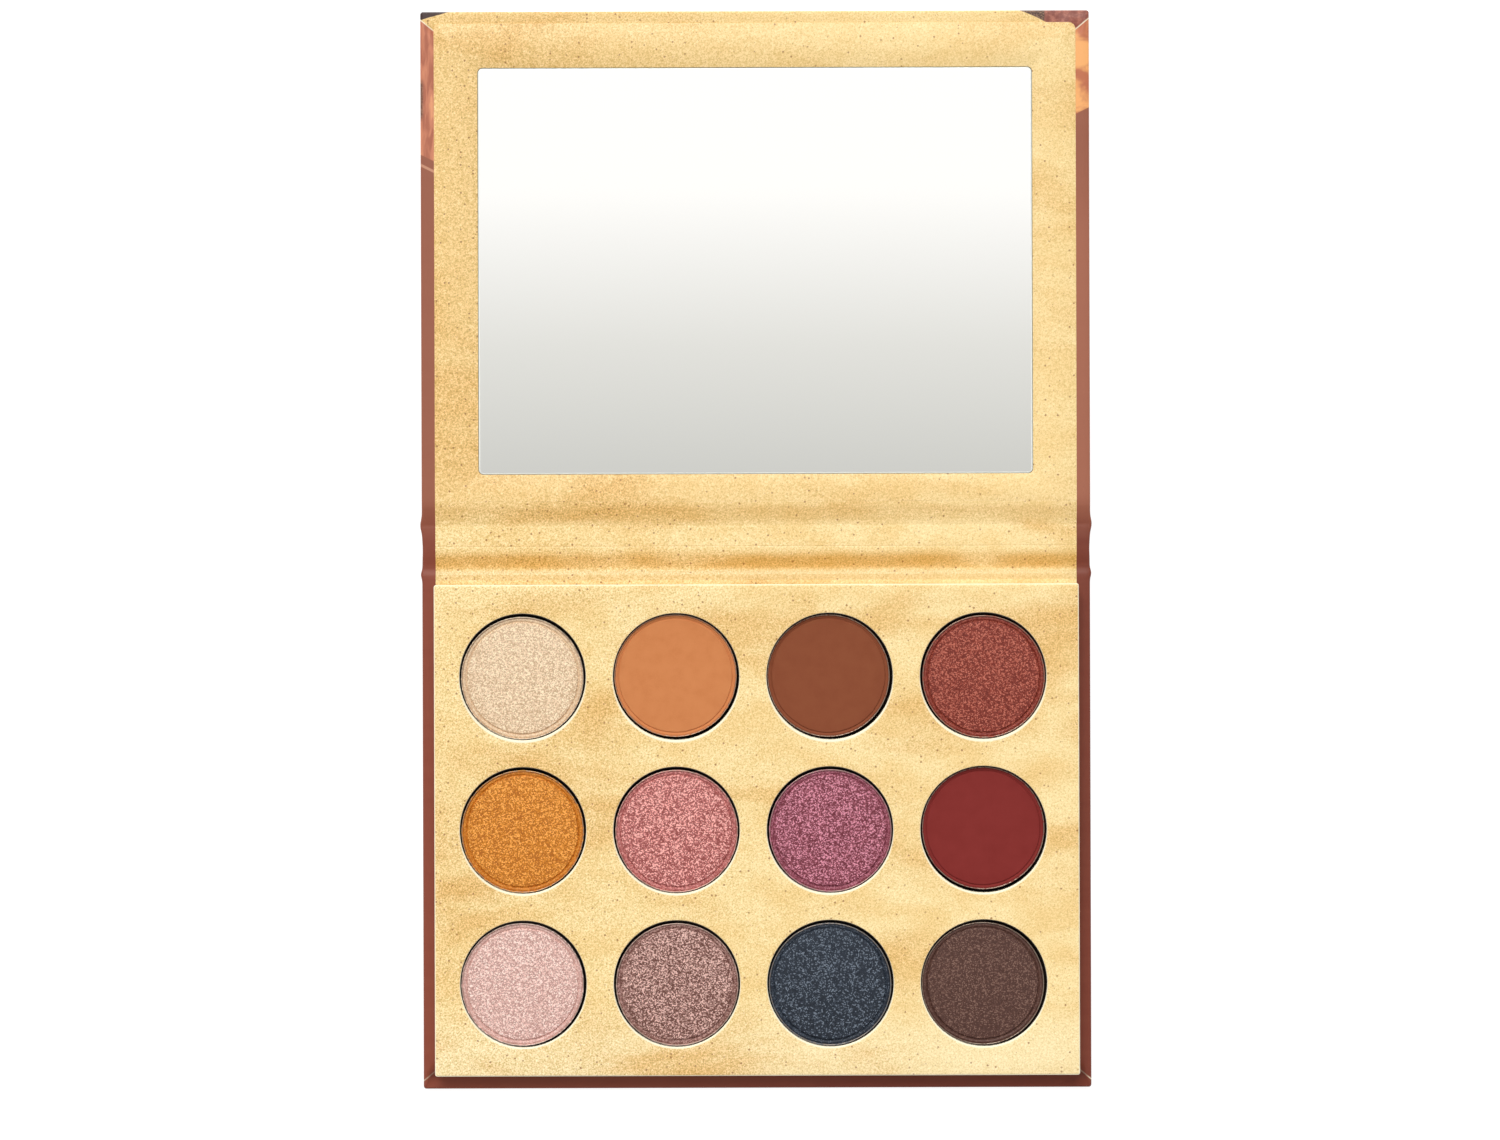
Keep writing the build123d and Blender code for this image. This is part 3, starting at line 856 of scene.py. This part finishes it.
def build_tray(material):
    """The tray's printed skin: a flat face with twelve rolled holes, rounded edges and four sides."""
    x_step = well_centre(1, 2)[0] - well_centre(1, 1)[0]
    y_step = well_centre(1, 1)[1] - well_centre(2, 1)[1]
    top = TRAY_HIGH.z
    around = 96
    angles = [math.radians(45) + 2 * math.pi * i / around for i in range(around)]
    turns = [math.radians(t) for t in steps(0, 90, 18)]
    points, faces = [], []
    for row, column in WELLS:
        cx, cy = well_centre(row, column)
        first = len(points)
        rings = [[lip_point(a, 0.0, top - LIP_WALL) for a in angles]]
        rings += [[lip_point(a, t, top) for a in angles] for t in turns]
        rings += [[(HOLE_RADIUS + 1.1, a, top) for a in angles]]
        hole_x, hole_y = cx + SKIN_OFFSET[0], cy + SKIN_OFFSET[1]
        for ring in rings:
            for radius, a, z in ring:
                points.append((hole_x + radius * math.cos(a), hole_y + radius * math.sin(a), z))
        for a in angles:
            px, py = square_point(a, x_step / 2, y_step / 2)
            points.append((cx + px, cy + py, top))
        for ring in range(len(rings)):
            for i in range(around):
                j = (i + 1) % around
                a, b = first + ring * around, first + (ring + 1) * around
                faces.append((a + i, a + j, b + j, b + i))
    left, bottom = well_centre(3, 1)[0] - x_step / 2, well_centre(3, 1)[1] - y_step / 2
    right, upper = well_centre(1, 4)[0] + x_step / 2, well_centre(1, 4)[1] + y_step / 2
    grid_x = sorted({round(p[0], 4) for p in points if abs(p[1] - bottom) < 1e-3})
    grid_y = sorted({round(p[1], 4) for p in points if abs(p[0] - left) < 1e-3})
    flat_half_x = TRAY_HIGH.x - TRAY_EDGE
    flat_low, flat_high = TRAY_LOW.y + TRAY_EDGE, TRAY_HIGH.y - TRAY_EDGE

    def band(inner, outer):
        start = len(points)
        for a, b in zip(inner, outer):
            points.extend([(*a, top), (*b, top)])
        for i in range(len(inner) - 1):
            a = start + 2 * i
            faces.append((a, a + 2, a + 3, a + 1))

    band([(x, bottom) for x in grid_x], [(x, flat_low) for x in grid_x])
    band([(x, upper) for x in grid_x], [(x, flat_high) for x in grid_x])
    rows = [flat_low] + grid_y + [flat_high]
    band([(left, y) for y in rows], [(-flat_half_x, y) for y in rows])
    band([(right, y) for y in rows], [(flat_half_x, y) for y in rows])
    columns = [-flat_half_x] + grid_x + [flat_half_x]
    rim = [(x, flat_low, 0, -1) for x in columns] + [(flat_half_x, y, 1, 0) for y in rows]
    rim += [(x, flat_high, 0, 1) for x in reversed(columns)]
    rim += [(-flat_half_x, y, -1, 0) for y in reversed(rows)]
    start, fold = len(points), []
    for angle in steps(0, 90, 18):
        a = math.radians(angle)
        fold.append((TRAY_EDGE * math.sin(a), top - TRAY_EDGE * (1 - math.cos(a))))
    fold += [(TRAY_EDGE, top - 2.0), (TRAY_EDGE, TRAY_LOW.z)]
    corner_turn = corner_directions(rim)
    for out, z in fold:
        points += [(x + out * nx, y + out * ny, z) for x, y, nx, ny in corner_turn]
    count = len(corner_turn)
    for ring in range(len(fold) - 1):
        for i in range(count):
            j = (i + 1) % count
            a, b = start + ring * count, start + (ring + 1) * count
            faces.append((a + i, a + j, b + j, b + i))
    obj = make("tray_skin", points, faces, material, merge=MERGE)
    face_out(obj)
    thicken(obj, TRAY_PAPER)
    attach(obj, "base")
    return obj


def corner_directions(rim):
    """Adds stations that turn smoothly round each corner of a rectangular rim."""
    made = []
    for i, (x, y, nx, ny) in enumerate(rim):
        made.append((x, y, nx, ny))
        after = rim[(i + 1) % len(rim)]
        if (nx, ny) != after[2:]:
            for angle in steps(0, 90, 18)[1:-1]:
                a = math.radians(angle)
                made.append((x, y, nx * math.cos(a) + after[2] * math.sin(a),
                             ny * math.cos(a) + after[3] * math.sin(a)))
    return made


def face_out(obj):
    """Turns the tray skin's faces outwards, judged from its flat face."""
    work = bmesh.new()
    work.from_mesh(obj.data)
    bmesh.ops.recalc_face_normals(work, faces=work.faces)
    work.normal_update()
    highest = max(work.faces, key=lambda f: f.calc_center_median().z + f.calc_area() * 1000)
    if highest.normal.z < 0:
        bmesh.ops.reverse_faces(work, faces=work.faces)
    work.to_mesh(obj.data)
    work.free()


# ---------------------------------------------------------------- pans and powders
def turned(name, profile, cx, cy, material, around=96):
    """A closed solid turned about an upright axis from (radius, height) points, axis to axis."""
    points, faces = [], []
    rings = []
    for radius, z in profile:
        if radius < 1e-6:
            rings.append([len(points)])
            points.append((cx, cy, z))
            continue
        rings.append(list(range(len(points), len(points) + around)))
        for i in range(around):
            a = 2 * math.pi * i / around
            points.append((cx + radius * math.cos(a), cy + radius * math.sin(a), z))
    for a, b in zip(rings, rings[1:]):
        for i in range(around):
            j = (i + 1) % around
            if len(a) == 1:
                faces.append((a[0], b[i], b[j]))
            elif len(b) == 1:
                faces.append((a[i], a[j], b[0]))
            else:
                faces.append((a[i], a[j], b[j], b[i]))
    return make(name, points, faces, material, body="base")


# Which way each pan lies off the middle of its hole, in degrees from the right, turning left.
PAN_LEAN = {
    "r1c1": 258, "r1c2": 120, "r1c3": 150, "r1c4": 320, "r2c1": 250, "r2c2": 280,
    "r2c3": 300, "r2c4": 90, "r3c1": 215, "r3c2": 290, "r3c3": 265, "r3c4": 225,
}
PAN_PLAY = 0.24
PAN_CORNER = 0.8
PAN_WALL = 0.25
PAN_RIM = 0.12


def pan_shift(code):
    angle = math.radians(PAN_LEAN[code])
    return PAN_PLAY * math.cos(angle), PAN_PLAY * math.sin(angle)


def build_pan(row, column):
    code = f"r{row}c{column}"
    low, high = box_mm("pan_" + code)
    cx, cy = well_centre(row, column)
    dx, dy = pan_shift(code)
    radius = (high.x - low.x) / 2
    rim_z = high.z - PAN_RIM
    profile = [(0, low.z), (radius - PAN_CORNER, low.z)]
    for angle in steps(0, 90, 30)[1:]:
        a = math.radians(angle)
        profile.append((radius - PAN_CORNER * (1 - math.sin(a)), low.z + PAN_CORNER * (1 - math.cos(a))))
    profile.append((radius, rim_z))
    for angle in steps(0, 180, 30)[1:-1]:
        a = math.radians(angle)
        profile.append((radius - PAN_WALL / 2 * (1 - math.cos(a)), rim_z + PAN_RIM * math.sin(a)))
    inner, floor_z = radius - PAN_WALL, low.z + PAN_WALL
    profile += [(inner, rim_z), (inner, floor_z), (0, floor_z)]
    obj = turned("tin_pan_" + code, profile, cx + dx, cy + dy, pan_material(code))
    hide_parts("pan_" + code)


def cake_height(kind, radius, angle, seed, full):
    """Height of the pressed face above its rim level: gentle dome, pressed groove and broken edge."""
    wander = noise.noise(Vector((math.cos(angle) * 2.2, math.sin(angle) * 2.2, seed)))
    ragged = noise.noise(Vector((math.cos(angle) * 9, math.sin(angle) * 9, seed + 5)))
    strength = 0.20 if kind == "matte" else 0.30
    groove_at = full - (0.62 if kind == "matte" else 0.88) + 0.10 * wander + 0.05 * ragged
    inner = radius < groove_at
    width = 0.13 if inner else 0.22
    groove = strength * math.exp(-(((radius - groove_at) / width) ** 2))
    outside = 0.0 if inner else 0.06 * (1 if kind != "matte" else 0.4)
    drop = 0.10 if kind == "matte" else 0.20
    edge = drop * max(0.0, (radius - (full - 0.30 - 0.08 * ragged)) / 0.38) ** 2
    lump_place = (radius * math.cos(angle) * 0.9, radius * math.sin(angle) * 0.9, seed)
    lumps = 0.012 * noise.noise(Vector(lump_place))
    return 0.05 * (1 - (radius / full) ** 2) - groove - outside - edge + lumps


def build_powder(row, column):
    code = f"r{row}c{column}"
    kind = SHADES[code][0]
    low, high = box_mm("powder_" + code)
    cx, cy = well_centre(row, column)
    dx, dy = pan_shift(code)
    full = (high.x - low.x) / 2 - 0.01
    seed = row * 10.0 + column
    radii = steps(0, full - 1.4, 1.0)[1:] + steps(full - 1.35, full, 0.045)
    around = 180
    points, faces = [(cx + dx, cy + dy, high.z + cake_height(kind, 0, 0, seed, full))], []
    for radius in radii:
        for i in range(around):
            a = 2 * math.pi * i / around
            z = high.z + cake_height(kind, radius, a, seed, full)
            points.append((cx + dx + radius * math.cos(a), cy + dy + radius * math.sin(a), z))
    for z in (high.z - 0.8, low.z + 0.6):
        for i in range(around):
            a = 2 * math.pi * i / around
            points.append((cx + dx + full * math.cos(a), cy + dy + full * math.sin(a), z))
    for i in range(around):
        j = (i + 1) % around
        faces.append((0, 1 + i, 1 + j))
        for ring in range(len(radii) + 1):
            a, b = 1 + ring * around, 1 + (ring + 1) * around
            faces.append((a + i, b + i, b + j, a + j))
    faces.append([1 + (len(radii) + 1) * around + i for i in range(around)])
    obj = make("pressed_powder_" + code, points, faces, powder_material(code), body="base")
    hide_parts("powder_" + code)


# ---------------------------------------------------------------- mirror
def build_mirror():
    """Silvered plate with a ground bevel round its edge."""
    bevel, low, high = 0.3, MIRROR_LOW.z, MIRROR_HIGH.z
    rings = []
    for inset, z in ((0.0, low), (0.0, high - 0.2), (0.08, high - 0.06), (bevel, high)):
        corner = max(0.3, WINDOW_CORNER - inset)
        ring = rounded_ring(MIRROR_HIGH.x - inset, MIRROR_LOW.y + inset, MIRROR_HIGH.y - inset, corner, 8)
        rings.append([(x, y, z) for x, y in ring])
    count = len(rings[0])
    points = [p for ring in rings for p in ring]
    faces = []
    for r in range(len(rings) - 1):
        for i in range(count):
            j = (i + 1) % count
            faces.append((r * count + i, r * count + j, (r + 1) * count + j, (r + 1) * count + i))
    faces.append(list(range(count)))
    faces.append([(len(rings) - 1) * count + i for i in range(count)])
    obj = make("mirror_plate", points, faces, glass_edge_material(), body="lid", smooth=False)
    obj.data.materials.append(mirror_material())
    top = max(obj.data.polygons, key=lambda p: p.center.z)
    top.material_index = 1
    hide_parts("mirror")


# ---------------------------------------------------------------- stage
# The sky's brightness against how far a direction leans back (Y over Z).
SKY_FROM, SKY_TO = -0.4, 0.4
SKY_STOPS = [
    (0.0, (0.24, 0.24, 0.24, 1)),
    (0.44, (0.52, 0.52, 0.51, 1)),
    (0.53, (0.62, 0.62, 0.59, 1)),
    (0.58, (0.78, 0.775, 0.74, 1)),
    (0.635, (1.03, 1.02, 1.0, 1)),
    (0.72, (1.05, 1.05, 1.04, 1)),
    (1.0, (0.42, 0.42, 0.42, 1)),
]
# Sines of the rise above the horizon: the sky is an even pale grey below the first, and has none of it above
# the second.
HORIZON_GLOW = (0.12, 0.75)
KEY_FROM = (-0.12, 0.58, 0.75)
KEY_STRENGTH = 2.24
HORIZON_GREY = (0.66, 0.66, 0.66, 1)
FLOOR_GLOW = 0.88


def build_stage():
    """A floor with a glow of its own, a sky that is brightest towards the back, and one soft key light."""
    bpy.ops.mesh.primitive_plane_add(size=6.0, location=(0, 0, -0.00005))
    floor = bpy.context.object
    floor.name = "floor"
    tree = Tree("floor")
    soft = tree.noise(tree.place(), scale=0.01)
    colour = tree.mix(soft, (0.28, 0.28, 0.28, 1), (0.29, 0.29, 0.29, 1))
    tree.put(tree.shader.inputs["Emission Color"], (1, 1, 1, 1))
    tree.put(tree.shader.inputs["Emission Strength"], FLOOR_GLOW)
    floor.data.materials.append(tree.finish(colour, 1.0, specular=0.0))

    world = bpy.data.worlds.new("studio")
    bpy.context.scene.world = world
    sky = Tree("studio", world)
    _, back, up = sky.split(sky.nodes.new("ShaderNodeTexCoord").outputs["Generated"])
    slope = sky.math("DIVIDE", back, sky.math("MAXIMUM", up, 0.02))
    limits = {"Value": slope, "From Min": SKY_FROM, "From Max": SKY_TO}
    band = sky.ramp(sky.node("ShaderNodeMapRange", limits).outputs[0], SKY_STOPS)
    low_down = sky.sub(1.0, sky.step(up, *HORIZON_GLOW))
    sky.put(sky.nodes["Background"].inputs[0], sky.mix(low_down, band, HORIZON_GREY))

    sun = bpy.data.lights.new("key", "SUN")
    sun.energy = KEY_STRENGTH
    sun.angle = math.radians(38)
    sun.color = (1.0, 0.985, 0.95)
    holder = bpy.data.objects.new("key", sun)
    bpy.context.scene.collection.objects.link(holder)
    holder.rotation_euler = (-Vector(KEY_FROM)).to_track_quat("-Z", "Y").to_euler()


# Camera: straight above, as high as gives the photograph's slight perspective.
CAMERA_HEIGHT = 0.75
SENSOR = 36.0
FRAME_WIDTH = 0.3198
CAMERA_X = -0.0013
CAMERA_Y = -0.0043
CAMERA_ROLL = -0.17


def build_camera():
    data = bpy.data.cameras.new("camera")
    data.sensor_width = SENSOR
    data.lens = SENSOR * CAMERA_HEIGHT / FRAME_WIDTH
    data.clip_start, data.clip_end = 0.05, 10.0
    holder = bpy.data.objects.new("camera", data)
    bpy.context.scene.collection.objects.link(holder)
    holder.location = (CAMERA_X, CAMERA_Y, CAMERA_HEIGHT + 0.002)
    holder.rotation_euler = (0, 0, math.radians(CAMERA_ROLL))
    bpy.context.scene.camera = holder


# ---------------------------------------------------------------- build everything
bpy.context.scene.view_settings.view_transform = "Standard"
build_camera()
build_stage()


def bend(sheet):
    """Bakes the sheet's placement into its mesh."""
    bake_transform(sheet)


wrap_front = build_wrap("case_wrap_front", -1, wrap_print("case_print_front", "rest"))
bend(wrap_front)
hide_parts("base_wrap", "spine_wrap")

wrap_back = build_wrap("case_wrap_back", 1, wrap_print("case_print_back", "rest"))
bend(wrap_back)
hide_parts("lid_wrap")

liner_front = build_base_liner(sand_paper("sand_liner_front", "rest"))
bend(liner_front)
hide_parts("base_liner", "spine_liner")

liner_back = build_lid_liner(sand_paper("sand_liner_back", "rest"))
bend(liner_back)
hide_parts("lid_liner")

tray = build_tray(sand_paper("sand_tray", highlight_above=(TRAY_HIGH.z - 1.2, TRAY_HIGH.z - 0.6)))
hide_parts("tray_wrap")

for well_row, well_column in WELLS:
    build_pan(well_row, well_column)
    build_powder(well_row, well_column)

build_mirror()

GREYBOARD = fibre_board("greyboard", srgb(158, 150, 138), srgb(128, 120, 110))
INNER_CARD = fibre_board("inner_card", srgb(60, 50, 44), srgb(38, 32, 28))
GLUE = glue_material()
NICKEL = magnet_material()
INNER_MATERIALS = {
    "base_board": GREYBOARD,
    "spine_board": GREYBOARD,
    "lid_board": GREYBOARD,
    "lid_frame_board": GREYBOARD,
    "tray_floor": INNER_CARD,
    "tray_walls": INNER_CARD,
    "tray_ribs": INNER_CARD,
    "tray_face_board": INNER_CARD,
    "mirror_tape": GLUE,
    "tray_glue_sheet": GLUE,
    "pan_glue_pads": GLUE,
    "lid_magnets": NICKEL,
    "tray_magnets": NICKEL,
}
for node_name, material in INNER_MATERIALS.items():
    for holder in frame["nodes"][node_name].material_slots:
        holder.material = material
